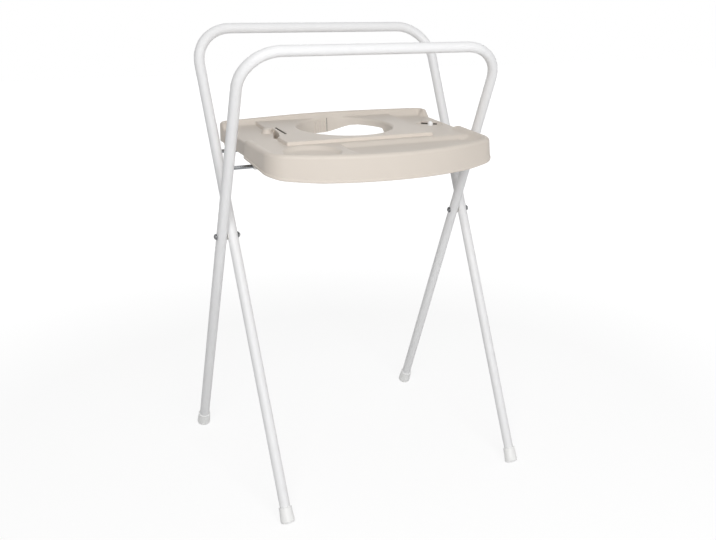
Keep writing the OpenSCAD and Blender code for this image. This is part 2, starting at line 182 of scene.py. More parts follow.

# %% [markdown]
# ### Edge wear and darker hollows
# Handling polishes what stands out, and what lies back is drawn darker.  The mesh's own
# pointiness tells one from the other, so nothing has to be painted by hand.

# %% Edge wear and darker hollows: convex edges go pale and smooth, hollows go darker
WEAR, gin, gout = effect("edge wear",
    {"Vector": (0.0, 0.0, 0.0), "Color": (0.8, 0.8, 0.8, 1.0),
     "Worn color": (0.9, 0.9, 0.9, 1.0), "Hollow color": (0.5, 0.47, 0.43, 1.0),
     "Wear": 0.3, "Hollows": 0.3}, {"Color": (0.8, 0.8, 0.8, 1.0), "Worn": 0.0})
point = add(WEAR, "ShaderNodeNewGeometry").outputs["Pointiness"]
patchy = add(WEAR, "ShaderNodeTexNoise", {"Vector": gin.outputs["Vector"], "Scale": 140.0,
                                          "Detail": 3.0}).outputs["Fac"]
convex = add(WEAR, "ShaderNodeMapRange", {0: point, 1: 0.53, 2: 0.62}).outputs[0]
hollow = add(WEAR, "ShaderNodeMapRange", {0: point, 1: 0.48, 2: 0.40}).outputs[0]
worn = maths(WEAR, "MULTIPLY", maths(WEAR, "MULTIPLY", convex, patchy), gin.outputs["Wear"])
# where the surface lies back, the colour is drawn darker
in_hollows = maths(WEAR, "MULTIPLY", maths(WEAR, "MULTIPLY", hollow, patchy), gin.outputs["Hollows"])
mixed = add(WEAR, "ShaderNodeMix", {"Factor": worn, 6: gin.outputs["Color"],
                                    7: gin.outputs["Worn color"]}, data_type="RGBA")
mixed = add(WEAR, "ShaderNodeMix", {"Factor": in_hollows, 6: mixed.outputs[2],
                                    7: gin.outputs["Hollow color"]}, data_type="RGBA")
WEAR.links.new(mixed.outputs[2], gout.inputs["Color"])
WEAR.links.new(worn, gout.inputs["Worn"])
print("effects:", [g.name for g in (DRIFT, GRAIN, WEAR)])

# %% [markdown]
# ## Finishes
# The frame is satin powder coat: white, slightly wavy like orange peel.  The tray is taken
# for polypropylene from a finely etched mould, so it is matt with a soft sheen.  Rods and
# washers are bright zinc, drawn along their length; caps, clips and stud are pale plastic.
# One recipe makes them all, so that they differ only in their values.

# %% One recipe for all finishes
HOLLOWS_DARKER = 0.72       # hollows are drawn this much darker than the finish round them
POLISH = 0.12           # full wear lowers the roughness by this much
COAT_ROUGH = 0.1

def finish(name, color, rough, grain, relief, softness=0.6, amount=0.03, drift_size=0.09,
           rough_drift=0.04, wear=0.3, hollows=0.3, worn=None, metal=0.0, specular=0.5,
           stretch=(1.0, 1.0, 1.0), coat=0.0):
    """A Principled material with tone drift, grain, edge wear and darker hollows, on Object
    coordinates.
    """
    mat = bpy.data.materials.new(name)
    mat.use_nodes = True
    tree = mat.node_tree
    bsdf = tree.nodes["Principled BSDF"]
    where = add(tree, "ShaderNodeTexCoord").outputs["Object"]
    drift = add(tree, "ShaderNodeGroup", node_tree=DRIFT)
    for key, value in (("Color", (*color, 1.0)), ("Amount", amount), ("Size", drift_size),
                       ("Roughness", rough), ("Roughness drift", rough_drift)):
        drift.inputs[key].default_value = value
    tree.links.new(where, drift.inputs["Vector"])
    edge = add(tree, "ShaderNodeGroup", node_tree=WEAR)
    edge.inputs["Worn color"].default_value = (*(worn or color), 1.0)
    # hollows take a darker copy of the finish's own colour
    edge.inputs["Hollow color"].default_value = (*(HOLLOWS_DARKER * c for c in color), 1.0)
    edge.inputs["Wear"].default_value = wear
    edge.inputs["Hollows"].default_value = hollows
    tree.links.new(where, edge.inputs["Vector"])
    tree.links.new(drift.outputs["Color"], edge.inputs["Color"])
    tree.links.new(edge.outputs["Color"], bsdf.inputs["Base Color"])
    smoother = maths(tree, "SUBTRACT", drift.outputs["Roughness"],
                     maths(tree, "MULTIPLY", edge.outputs["Worn"], POLISH))
    tree.links.new(smoother, bsdf.inputs["Roughness"])
    placed = add(tree, "ShaderNodeMapping", {"Vector": where, "Scale": stretch})
    fine = add(tree, "ShaderNodeGroup", node_tree=GRAIN)
    fine.inputs["Size"].default_value = grain
    fine.inputs["Softness"].default_value = softness
    tree.links.new(placed.outputs[0], fine.inputs["Vector"])
    bump = add(tree, "ShaderNodeBump", {"Height": fine.outputs["Height"], "Strength": 1.0,
                                        "Distance": relief})
    tree.links.new(bump.outputs[0], bsdf.inputs["Normal"])
    bsdf.inputs["Metallic"].default_value = metal
    bsdf.inputs["Specular IOR Level"].default_value = specular
    bsdf.inputs["Coat Weight"].default_value = coat
    bsdf.inputs["Coat Roughness"].default_value = COAT_ROUGH
    return mat

# %% The finishes
WHITE_COAT = finish("white powder coat", (0.875, 0.875, 0.88), 0.42, 0.0011, 0.000018,
                    softness=1.0, amount=0.015, worn=(0.89, 0.89, 0.89), hollows=0.25,
                    specular=0.3)
TRAY_PLASTIC = finish("beige tray plastic", (0.675, 0.612, 0.545), 0.50, 0.00055, 0.000035,
                      amount=0.02, worn=(0.73, 0.67, 0.61), wear=0.5, hollows=0.4)
FOOT_PLASTIC = finish("white cap plastic", (0.92, 0.92, 0.91), 0.42, 0.0006, 0.00003,
                      amount=0.02, hollows=0.5)
ZINC = finish("bright zinc", (0.23, 0.24, 0.25), 0.26, 0.0005, 0.00002, softness=0.9,
              amount=0.08, drift_size=0.01, rough_drift=0.12, worn=(0.42, 0.43, 0.44),
              metal=1.0, stretch=(0.02, 1.0, 1.0))
BOLT_STEEL = finish("dark plated steel", (0.20, 0.20, 0.205), 0.33, 0.0004, 0.00002,
                    amount=0.12, drift_size=0.006, rough_drift=0.1,
                    worn=(0.45, 0.45, 0.46), wear=0.8, metal=1.0)
NYLON = finish("milky nylon", (0.80, 0.79, 0.76), 0.45, 0.0005, 0.00002)
STUD_PLASTIC = finish("white stud plastic", (0.88, 0.88, 0.88), 0.28, 0.0006, 0.00001,
                      coat=0.2)
CLIP_PLASTIC = finish("pale clip plastic", (0.88, 0.87, 0.84), 0.42, 0.0006, 0.00003)
print("finishes:", [m.name for m in (WHITE_COAT, TRAY_PLASTIC, FOOT_PLASTIC, ZINC, BOLT_STEEL,
                                     NYLON, STUD_PLASTIC, CLIP_PLASTIC)])

# %% [markdown]
# ## Dressing the CAD nodes
# Rods, washers, nuts, spacers, clips, stud and screws have the right shape already.  They
# keep their meshes and get the finishes above in their own material slots.

# %% Give the CAD nodes their finishes
def finish_for(node):
    """The finish of a CAD node, by the first name below that its own name starts with."""
    for start, mat in (("rod", ZINC), ("pivot_spacer", NYLON), ("pivot_washers", ZINC),
                       ("pivot", BOLT_STEEL), ("foot", FOOT_PLASTIC), ("frame", WHITE_COAT),
                       ("tray_stud", STUD_PLASTIC), ("tray", TRAY_PLASTIC),
                       ("front_clip_screw", ZINC), ("front_clip", CLIP_PLASTIC)):
        if node.startswith(start):
            return mat

for name, obj in nodes.items():
    for s in obj.material_slots:
        s.material = finish_for(name)
print("dressed:", len(nodes), "nodes")

# %% [markdown]
# ## Frames
# Each frame is one length of tube: straight up a leg, round a bend, along the rail and
# down again.  Four corner points, a fillet of the bend's radius and a round profile swept
# along the path say just that, so Geometry Nodes make it.  Sizes stay inputs of the tree,
# and both frames share it.

# %% Helpers for node trees
def geometry_tree(name, sizes):
    """A node tree with a Geometry input and named float inputs; returns it with its ends."""
    tree = bpy.data.node_groups.new(name, "GeometryNodeTree")
    tree.interface.new_socket("Geometry", in_out="INPUT", socket_type="NodeSocketGeometry")
    for label, value in sizes.items():
        kind = "NodeSocketInt" if isinstance(value, int) else "NodeSocketFloat"
        tree.interface.new_socket(label, in_out="INPUT", socket_type=kind).default_value = value
    tree.interface.new_socket("Geometry", in_out="OUTPUT", socket_type="NodeSocketGeometry")
    return tree, tree.nodes.new("NodeGroupInput"), tree.nodes.new("NodeGroupOutput")

def close_tree(tree, result, gout, material):
    """End a tree in real geometry that carries its material."""
    real = add(tree, "GeometryNodeRealizeInstances", {"Geometry": result})
    done = add(tree, "GeometryNodeSetMaterial", {"Geometry": real.outputs[0],
                                                 "Material": material})
    tree.links.new(done.outputs[0], gout.inputs[0])

# %% Helpers for meshes
def link_mesh(name, verts, edges=(), faces=(), smooth=True):
    """A new object from millimetre coordinates."""
    mesh = bpy.data.meshes.new(name)
    mesh.from_pydata([Vector(v) * MM for v in verts], list(edges), list(faces))
    mesh.update()
    if smooth and len(mesh.polygons):
        mesh.shade_smooth()
    obj = bpy.data.objects.new(name, mesh)
    bpy.context.scene.collection.objects.link(obj)
    return obj

def bake(obj):
    """Swap an object's mesh for its evaluated one and drop its modifiers."""
    bpy.context.view_layer.update()
    seen = obj.evaluated_get(bpy.context.evaluated_depsgraph_get())
    mesh = bpy.data.meshes.new_from_object(seen, preserve_all_data_layers=True,
                                           depsgraph=bpy.context.evaluated_depsgraph_get())
    obj.modifiers.clear()
    old = obj.data
    obj.data = mesh
    bpy.data.meshes.remove(old)
    return obj

def run_tree(obj, tree, **sizes):
    """Run a node tree on an object with its named inputs set, and keep the plain mesh."""
    mod = obj.modifiers.new(tree.name, "NODES")
    mod.node_group = tree
    ids = {i.name: i.identifier for i in tree.interface.items_tree if i.in_out == "INPUT"}
    for label, value in sizes.items():
        mod[ids[label.replace("_", " ")]] = value
    return bake(obj)

# %% Geometry Nodes: a tube bent along a path
TUBE, gin, gout = geometry_tree("bent tube", {"Tube radius": 0.011, "Bend radius": 0.08,
                                              "Bend steps": 24, "Sides": 48})
path = add(TUBE, "GeometryNodeMeshToCurve", {"Mesh": gin.outputs["Geometry"]})
bent = add(TUBE, "GeometryNodeFilletCurve", {"Curve": path.outputs[0],
                                             "Radius": gin.outputs["Bend radius"],
                                             "Count": gin.outputs["Bend steps"]}, mode="POLY")
ring = add(TUBE, "GeometryNodeCurvePrimitiveCircle", {"Resolution": gin.outputs["Sides"],
                                                      "Radius": gin.outputs["Tube radius"]})
swept = add(TUBE, "GeometryNodeCurveToMesh", {"Curve": bent.outputs[0],
                                              "Profile Curve": ring.outputs[0],
                                              "Fill Caps": True})
close_tree(TUBE, swept.outputs[0], gout, WHITE_COAT)
print(TUBE.name, "-", len(TUBE.nodes), "nodes")

# %% Place both frames
TUBE_END = 9.0          # the tube stops this far above the tip of its leg, inside the cap

def leg_point(x, along, lean):
    """A point of a frame: x across, so far along the leg from the pivot, at its lean."""
    return (x, -along * math.sin(lean), PIVOT_H + along * math.cos(lean))

def make_frame(name, xs, lean, body):
    """One frame: two legs at the x places xs, and the rail between them."""
    low = -DOWN + TUBE_END
    corners = [leg_point(xs[0], low, lean), leg_point(xs[0], UP, lean),
               leg_point(xs[1], UP, lean), leg_point(xs[1], low, lean)]
    obj = link_mesh(name + "_tube", corners, [(0, 1), (1, 2), (2, 3)])
    run_tree(obj, TUBE, Tube_radius=TUBE_R * MM, Bend_radius=BEND_R * MM)
    obj.data.shade_smooth()
    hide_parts(name)
    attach(obj, body)
    print(name, len(obj.data.polygons), "faces")

make_frame("frame_front_rail", FRONT_RAIL_X, LEAN, "front_rail_frame")
make_frame("frame_rear_rail", REAR_RAIL_X, -LEAN, "rear_rail_frame")

# %% [markdown]
# ## Foot caps and bolts
# Both are round about an axis: one outline, spun.  It is drawn with its rounded edges,
# spun in small steps, and laid along its axis.  A Screw modifier could do it too; a short
# function keeps the steps and the closed ends in plain sight.

# %% Spin an outline
def spun(name, outline, place, steps=64):
    """Spin (radius, height) points round Z, then put the result at place, a Matrix in mm.

    An outline that ends at the axis closes there; one that ends where it starts is welded.
    """
    bm = bmesh.new()
    rings = []
    for radius, height in outline:
        if radius == 0:
            rings.append([bm.verts.new(place @ Vector((0, 0, height)))])
        else:
            rings.append([bm.verts.new(place @ Vector((
                radius * math.cos(2 * math.pi * k / steps),
                radius * math.sin(2 * math.pi * k / steps), height))) for k in range(steps)])
    for a, b in zip(rings, rings[1:]):
        for k in range(steps):
            j = (k + 1) % steps
            quad = [a[k % len(a)], a[j % len(a)], b[j % len(b)], b[k % len(b)]]
            quad = list(dict.fromkeys(quad))
            if len(quad) > 2:
                bm.faces.new(quad)
    bmesh.ops.scale(bm, vec=(MM, MM, MM), verts=bm.verts)
    bmesh.ops.remove_doubles(bm, verts=bm.verts, dist=0.001 * MM)
    bmesh.ops.recalc_face_normals(bm, faces=bm.faces)
    mesh = bpy.data.meshes.new(name)
    bm.to_mesh(mesh)
    bm.free()
    mesh.shade_smooth()
    obj = bpy.data.objects.new(name, mesh)
    bpy.context.scene.collection.objects.link(obj)
    return obj

# %% Roundings, and shading that keeps flats flat
def curve(cx, cz, r, a0, a1, n=6):
    """Points on a rounding of an outline, angles in degrees."""
    return [(cx + r * math.cos(math.radians(a0 + (a1 - a0) * k / n)),
             cz + r * math.sin(math.radians(a0 + (a1 - a0) * k / n))) for k in range(n + 1)]

print("a quarter round has", len(curve(0, 0, 1, 0, 90)), "points")

def crisp(obj, degrees=32):
    """Weighted normals, so that flats look flat and roundings round."""
    obj.data.set_sharp_from_angle(angle=math.radians(degrees))
    mod = obj.modifiers.new("weighted", "WEIGHTED_NORMAL")
    mod.keep_sharp = True
    return bake(obj)

# %% [markdown]
# ### Foot caps
# A soft white cap sits on the end of each leg and leans with it, so only its lower edge
# meets the floor.  That edge is taken to be worn flat: whatever would lie below the floor
# is lifted to it.

# %% Foot caps
FOOT_R, FOOT_EDGE, FOOT_H, WORN = 15.0, 5.0, 35.0, 1.2
BORE_R, BORE_FLOOR = TUBE_R + 0.02, 10.0
FOOT_LIFT = ((FOOT_R - FOOT_EDGE) * math.sin(LEAN) + FOOT_EDGE - WORN) / math.cos(LEAN) - FOOT_EDGE
CAP = ([(0, 0.6), (7, 0.6), (8, 0.0), (FOOT_R - FOOT_EDGE, 0)]
       + curve(FOOT_R - FOOT_EDGE, FOOT_EDGE, FOOT_EDGE, -90, 0, 8)[1:]
       + [(14.95, 8.0), (14.7, 12.0), (14.25, 20.0), (13.75, 28.0), (13.55, 31.2)]
       + curve(12.7, 33.9, 1.1, 0, 90, 5) + [(BORE_R, FOOT_H), (BORE_R, 32.0)]
       + [(BORE_R, BORE_FLOOR), (0, BORE_FLOOR)])

def make_foot(name, x, lean, body):
    """A cap at the end of the leg at x."""
    place = (Matrix.Translation((0, 0, PIVOT_H)) @ Matrix.Rotation(lean, 4, "X")
             @ Matrix.Translation((x, 0, -DOWN + FOOT_LIFT)))
    obj = spun(name + "_cap", CAP, place)
    for v in obj.data.vertices:
        v.co.z = max(v.co.z, 0.0)
    obj.data.materials.append(FOOT_PLASTIC)
    crisp(obj, 40)
    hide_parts(name)
    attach(obj, body)

make_foot("foot_back_left", FRONT_RAIL_X[0], LEAN, "front_rail_frame")
make_foot("foot_back_right", FRONT_RAIL_X[1], LEAN, "front_rail_frame")
make_foot("foot_front_left", REAR_RAIL_X[0], -LEAN, "rear_rail_frame")
make_foot("foot_front_right", REAR_RAIL_X[1], -LEAN, "rear_rail_frame")
print("cap outline:", len(CAP), "points")

# %% [markdown]
# ### Pivot bolts
# One bolt a side pins the two frames together.  Only its low domed head is seen, so the
# head gets its dome and a small driver recess, and the shank stays a plain rod without
# thread.  Place and length come from the CAD node's box.

# %% Pivot bolts: low domed heads with a small driver recess
def make_bolt(side):
    """The bolt of one side, its head outwards."""
    name = "pivot_bolt_" + side
    low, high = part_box(name)
    low, high = low / MM, high / MM
    length = high.x - low.x
    head = ([(0, 1.6), (1.9, 1.6), (2.0, 0.55)] + curve(2.6, 0.55, 0.5, 180, 90, 3)[1:]
            + [(4.0, 0.55), (5.2, 1.35), (5.8, 2.3)] + curve(5.6, 2.75, 0.4, 0, 40, 2)
            + [(6.0, 4.0), (3.0, 4.0), (3.0, length - 0.6), (2.5, length), (0, length)])
    head_x, way = (low.x, 1) if side == "left" else (high.x, -1)
    place = Matrix.Translation((head_x, 0, PIVOT_H)) @ Matrix.Rotation(way * math.pi / 2, 4, "Y")
    obj = spun(name + "_turned", head, place, 48)
    obj.data.materials.append(BOLT_STEEL)
    crisp(obj, 40)
    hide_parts(name)
    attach(obj, "rear_rail_frame")
    print(name, "length", round(length, 1))

make_bolt("left")
make_bolt("right")

# %% [markdown]
# ## Tray
# The tray is one thin moulding, so it is made as one closed skin.  Its plan is an outline
# with a broad curved front.  Over that plan a height is worked out for every point: a low
# shelf, a raised middle platform, a soft border, a dish, a long recess and a back rim.
# The plan is cut into triangles with rows of points along every edge that matters, which
# keeps each edge clean; a plain grid would leave it jagged.

# %% Sizes of the tray's outline
FRONT_C, FRONT_R, CORNER_R = 222.0, 500.0, 55.0
HALF, HALF_REAR, BACK, REAR_R = 254.5, 248.0, 135.0, 22.0
STEP_FRONT, STEP_BACK = -70.0, -48.0      # the sides step in between these places
CX = HALF - CORNER_R
CY = FRONT_C - math.sqrt((FRONT_R - CORNER_R) ** 2 - CX ** 2)
SWEEP = math.degrees(math.asin(CX / (FRONT_R - CORNER_R)))
print(f"front corner centre y {CY:.1f}, sweep {SWEEP:.1f} degrees")

# %% Helpers for rows of points
def arc(cx, cy, r, a0, a1, step=3.0):
    """Points on an arc, angles in degrees, about a step apart."""
    n = max(2, round(abs(math.radians(a1 - a0)) * r / step))
    a = np.radians(np.linspace(a0, a1, n + 1))
    return np.column_stack([cx + r * np.cos(a), cy + r * np.sin(a)])

def line(p, q, step=3.0):
    """Points on a straight line, about a step apart."""
    n = max(1, round(math.dist(p, q) / step))
    return np.linspace(p, q, n + 1)

def ease(t):
    """A soft step from 0 to 1."""
    t = np.clip(t, 0.0, 1.0)
    return t * t * (3.0 - 2.0 * t)

def closed(parts):
    """Join point rows into one closed outline without doubled points."""
    pts = np.vstack(parts)
    keep = np.linalg.norm(pts - np.roll(pts, 1, axis=0), axis=1) > 0.05
    return pts[keep]

print("a quarter arc of the corner has", len(arc(0, 0, CORNER_R, 0, 90)), "points")

# %% Outline of the tray's foot, anticlockwise seen from above
def side_curve(sign):
    """The soft step in a side, where the tray passes between the legs."""
    y = np.linspace(STEP_FRONT, STEP_BACK, 12)
    x = HALF - (HALF - HALF_REAR) * ease((y + 68.0) / 18.0)
    return np.column_stack([sign * x, y])

FOOT_LINE = closed([
    arc(0, FRONT_C, FRONT_R, -90 - SWEEP, -90 + SWEEP, 4.0),
    arc(CX, CY, CORNER_R, -90 + SWEEP, 0, 2.5),
    line((HALF, CY), (HALF, STEP_FRONT), 4.0), side_curve(1),
    line((HALF_REAR, STEP_BACK), (HALF_REAR, BACK - REAR_R), 3.0),
    arc(HALF_REAR - REAR_R, BACK - REAR_R, REAR_R, 0, 90, 1.8),
    line((HALF_REAR - REAR_R, BACK), (REAR_R - HALF_REAR, BACK), 4.0),
    arc(REAR_R - HALF_REAR, BACK - REAR_R, REAR_R, 90, 180, 1.8),
    line((-HALF_REAR, BACK - REAR_R), (-HALF_REAR, STEP_BACK), 3.0), side_curve(-1)[::-1],
    line((-HALF, STEP_FRONT), (-HALF, CY), 4.0),
    arc(-CX, CY, CORNER_R, 180, 270 - SWEEP, 2.5)])

def normals_of(pts):
    """Outward normals of a closed anticlockwise outline."""
    t = np.roll(pts, -1, axis=0) - np.roll(pts, 1, axis=0)
    n = np.column_stack([t[:, 1], -t[:, 0]])
    return n / np.linalg.norm(n, axis=1)[:, None]

FOOT_N = normals_of(FOOT_LINE)

def inset(distance):
    """The tray's outline moved inwards by one distance, or by one for each point."""
    return FOOT_LINE - FOOT_N * np.asarray(distance).reshape(-1, 1)

print("outline of the foot:", len(FOOT_LINE), "points")

# %% Helpers: how deep a point lies inside an outline, and outlines with round corners
def inside_of(pts, x, y):
    """Signed distance in mm: positive inside the closed outline, negative outside."""
    x, y = np.asarray(x, float).ravel(), np.asarray(y, float).ravel()
    best = np.full(len(x), 1e9)
    inner = np.zeros(len(x), bool)
    for (ax, ay), (bx, by) in zip(pts, np.roll(pts, -1, axis=0)):
        dx, dy = bx - ax, by - ay
        t = np.clip(((x - ax) * dx + (y - ay) * dy) / (dx * dx + dy * dy), 0, 1)
        best = np.minimum(best, (x - ax - t * dx) ** 2 + (y - ay - t * dy) ** 2)
        if ay != by:
            inner ^= ((ay > y) != (by > y)) & (x < dx * (y - ay) / dy + ax)
    return np.where(inner, 1.0, -1.0) * np.sqrt(best)

def rounded(corners, step=2.0):
    """A closed outline from (x, y, radius) corners, anticlockwise."""
    rows = []
    for i, (x, y, r) in enumerate(corners):
        p = np.array((x, y), float)
        a = np.array(corners[i - 1][:2], float) - p
        b = np.array(corners[(i + 1) % len(corners)][:2], float) - p
        a, b = a / np.linalg.norm(a), b / np.linalg.norm(b)
        half = math.acos(np.clip(a @ b, -1, 1)) / 2
        back = r / math.tan(half)
        mid = p + (a + b) / np.linalg.norm(a + b) * r / math.sin(half)
        p0, p1 = p + a * back, p + b * back
        a0, a1 = (math.atan2(*(q - mid)[::-1]) for q in (p0, p1))
        turn = (a1 - a0 + math.pi) % (2 * math.pi) - math.pi
        n = max(3, round(abs(turn) * r / 0.8))
        ang = a0 + turn * np.linspace(0, 1, n + 1)
        rows.append(mid + r * np.column_stack([np.cos(ang), np.sin(ang)]))
    full = []
    for i, row in enumerate(rows):
        full += [row, line(row[-1], rows[(i + 1) % len(rows)][0], step)[1:-1]]
    return closed([f for f in full if len(f)])

print("the origin lies", inside_of(FOOT_LINE, 0, 0).round(), "mm inside the outline")

# %% [markdown]
# ### What lies on the tray's top
# Each form is a closed outline seen from above: the platform, the round opening, the
# slanted cut-out with its slit, the slot behind the stud, the dish and the long recess.
# Outlines are kept apart from heights, so that a form can be moved without being reshaped.

# %% Outlines of everything on the tray's top
PLATFORM = rounded([(-178, -110, 4), (155, -110, 4), (155, 124, 4), (-167, 124, 4),
                    (-171, 48, 5), (-156.5, 43, 4), (-163, -12, 20), (-170.5, -44, 4),
                    (-178, -52, 3)])
WELL_Y, WELL_R = 18.0, 104.0
WELL = arc(0, WELL_Y, WELL_R, 0, 360, 2.2)[:-1]
CUT_OUT = rounded([(-179.5, -32, 1.5), (-170.5, -42, 1.5), (-161.5, -12, 20), (-155, 41, 1.2)])
SLIT = rounded([(-153.5, -29, 1.6), (-148.0, -29, 1.6), (-145.5, 48, 1.6), (-151.0, 48, 1.6)])
SLOT_C, SLOT_TURN = np.array((217.5, 33.0)), math.radians(-34)
slot_x = np.array((math.cos(SLOT_TURN), math.sin(SLOT_TURN)))
slot_y = np.array((-slot_x[1], slot_x[0]))
SLOT_LONG, SLOT_WIDE = 18.5, 9.0          # half sizes
SLOT = rounded([(*(SLOT_C + u * SLOT_LONG * slot_x + v * SLOT_WIDE * slot_y), 1.5)
                for u, v in ((-1, -1), (1, -1), (1, 1), (-1, 1))], 1.5)
HOLLOW_C, HOLLOW_R = (210.0, 14.0), 32.0
DISH_C, DISH_R = (-150.0, -178.0), 60.0
DRAINS, DRAIN_R = [(-99.0, -188.0), (-66.0, -130.0), (212.0, -140.0)], 2.0
BOSS_C = (-175.0, 26.0)

# the recess follows the tray's front and right side, and is rounded at its left end
RECESS_IN, RECESS_BACK, RECESS_R = 18.6, -121.0, 22.0
RECESS_LEFT, RECESS_LEFT_R = -76.0, 16.0
recess_right = HALF - RECESS_IN
front = arc(0, FRONT_C, FRONT_R - RECESS_IN,
            -90 - math.degrees(math.asin(64 / (FRONT_R - RECESS_IN))), -90 + SWEEP, 3.0)
corner = arc(CX, CY, CORNER_R - RECESS_IN, -90 + SWEEP, 0, 2.0)
left_back = arc(RECESS_LEFT + RECESS_LEFT_R, RECESS_BACK - RECESS_LEFT_R, RECESS_LEFT_R,
                90, 180, 2.0)
left_front = rounded([(RECESS_LEFT, -150, 12), (RECESS_LEFT, front[0][1] - 1.5, 14),
                      (-40, front[0][1] - 3, 1), (-40, -150, 1)], 2.0)
left_front = left_front[(left_front[:, 0] < front[0][0]) & (left_front[:, 1] < -200)]
RECESS = closed([
    front, corner, line((recess_right, CY), (recess_right, RECESS_BACK - RECESS_R), 3.0)[1:],
    arc(recess_right - RECESS_R, RECESS_BACK - RECESS_R, RECESS_R, 0, 90, 2.0),
    line((recess_right - RECESS_R, RECESS_BACK),
         (RECESS_LEFT + RECESS_LEFT_R, RECESS_BACK), 3.0)[1:-1],
    left_back, left_front[np.argsort(-left_front[:, 1])]])
for name, ring in (("platform", PLATFORM), ("recess", RECESS), ("cut-out", CUT_OUT)):
    low, high = ring.min(0), ring.max(0)
    print(name, len(ring), "points, x", low[0].round(), high[0].round(), "y",
          low[1].round(), high[1].round())

# %% [markdown]
# ### The height of the top
# The mould has no sharp steps: every form runs into the next through a small rounding.  So
# the top is one height worked out from the distances to the outlines above, with `ease` for
# soft slopes and `roll_off` for rounded edges.  Sculpting would need every edge by hand.

# %% Sizes of the forms, and helpers that blend and round
RIM_W, CREST_IN, COVE, RIM_SAG, RIM_LEFT = 12.0, 7.3, 19.0, 3.0, 4.5
BORDER_IN, BORDER_W = 13.5, 13.0
BOWL_LIP, BOWL_DEEP, RECESS_DEEP, RECESS_SLOPE = 7.0, 8.0, 8.0, 21.0
HOLLOW_DEEP, WELL_EDGE, PLATFORM_EDGE, BOSS_H = 3.8, 6.0, 3.0, 10.0
# each small opening: outline, a row of points inside its rounding, rounding, walled band
OPENINGS = ((CUT_OUT, 0.25, 0.8, 2.5), (SLIT, 0.2, 0.6, 2.0), (SLOT, 0.25, 0.8, 2.0))

def higher(a, b, soft):
    """The larger of two heights, blended where they are closer than soft."""
    near = np.clip(soft - np.abs(a - b), 0, None) / soft
    return np.maximum(a, b) + near * near * soft / 4

def roll_off(s, r):
    """Drop of an edge rounded with radius r, at a depth s inside the edge."""
    t = np.clip(r - s, 0, r)
    return r - np.sqrt(np.maximum(r * r - t * t, 0))

print("an edge of radius 3 drops", [round(float(roll_off(s, 3.0)), 2) for s in (0, 1, 2, 3)])

# %% The height of the top surface
def height(x, y):
    """The height of the tray's top at each place."""
    x, y = np.asarray(x, float).ravel(), np.asarray(y, float).ravel()
    edge = inside_of(FOOT_LINE, x, y)
    z = np.full(len(x), SHELF)
    # soft border of the front part
    border = (1 - ease((edge - BORDER_IN) / BORDER_W)) * ease((-56.0 - y) / 7.0)
    z += (DECK - SHELF) * border
    # dish, steep at its lip and then deeper like a bowl; long recess; drains
    dish = np.hypot(x - DISH_C[0], y - DISH_C[1]) / DISH_R
    recess = inside_of(RECESS, x, y)
    bowl = BOWL_LIP * ease((1.02 - dish) / 0.24) + BOWL_DEEP * ease((1.0 - dish) / 0.9)
    z -= bowl * ease((edge - 16.0) / 9.0)
    z -= RECESS_DEEP * ease((recess + 1.0) / RECESS_SLOPE)
    for cx, cy in DRAINS:
        z -= 0.9 * (1 - ease((np.hypot(x - cx, y - cy) - DRAIN_R) / 5.0))
    # round hollow on the right
    ring = HOLLOW_R - np.hypot(x - HOLLOW_C[0], y - HOLLOW_C[1])
    z -= HOLLOW_DEEP * ease(ring / 4.5)
    # middle platform with its steep wall
    s = inside_of(PLATFORM, x, y)
    top = DECK - np.where(s > 0, roll_off(s, PLATFORM_EDGE), PLATFORM_EDGE - 5.0 * s)
    z = higher(z, top, 1.5)
    # back rim, lower at its left end, which slopes away along both sides
    crest = np.minimum(RIM_TOP - RIM_SAG * (x / 245.0) ** 2 - RIM_LEFT * ease(-x / 245.0),
                       SHELF - 1.0 + 0.9 * (y - BACK + 47.0))
    r = RIM_W - CREST_IN
    past = np.clip(edge - CREST_IN, 0, r)
    cove = 1.0 - (1.0 - np.clip((edge - RIM_W) / COVE, 0, 1)) ** 2.6
    rim = crest - (r - np.sqrt(r * r - past ** 2)) * (1 - cove)
    rim -= np.maximum(crest - SHELF + 1.0, 0) * cove
    z = np.where(y > BACK - 51.0, higher(z, rim, 3.0), z)
    # roundings of the openings
    z -= roll_off(np.maximum(np.hypot(x, y - WELL_Y) - WELL_R, 0), WELL_EDGE)
    for hole, _, r, _ in OPENINGS:
        near = (np.abs(x - hole[:, 0].mean()) < 60) & (np.abs(y - hole[:, 1].mean()) < 70)
        z[near] -= roll_off(np.maximum(-inside_of(hole, x[near], y[near]), 0), r)
    # moulded boss beside the cut-out
    boss = np.hypot(x - BOSS_C[0], y - BOSS_C[1])
    z = np.maximum(z, np.where(boss < 13, SHELF + BOSS_H - BOSS_H * ease((boss - 5.5) / 6.5), 0))
    return z

print("heights at five places:", height([0, 200, -146, 0, 210], [-105, 60, -152, 112, 14]).round(1))

# %% [markdown]
# ### Triangles of the plan
# Rows of points are laid along every edge and rounding, an even grid fills what is left,
# and a constrained triangulation joins them all.  The edges stay smooth at any zoom,
# because no triangle crosses them.

# %% Rows of points along the edges
# for each point of the outline: its share in the front part and in the back rim, how far
# the skirt leans in, and the radius of the skirt's upper edge
front_w = ease((-50.0 - FOOT_LINE[:, 1]) / 18.0)
rim_w = ease((FOOT_LINE[:, 1] - BACK + 55.0) / 12.0)
draft = 0.8 + 1.8 * front_w
radius = 4.0 + 4.0 * front_w + (CREST_IN - 0.8 - 4.0) * rim_w
TOP_LINE = inset(draft + radius)

def shifted(ring, distance):
    """A closed outline moved inwards (or outwards where distance is negative)."""
    return ring - normals_of(ring) * distance

def circle(cx, cy, r, step=2.0):
    """Points on a whole circle, about a step apart."""
    n = max(10, round(2 * math.pi * r / step))
    a = np.linspace(0, 2 * math.pi, n, endpoint=False)
    return np.column_stack([cx + r * np.cos(a), cy + r * np.sin(a)])

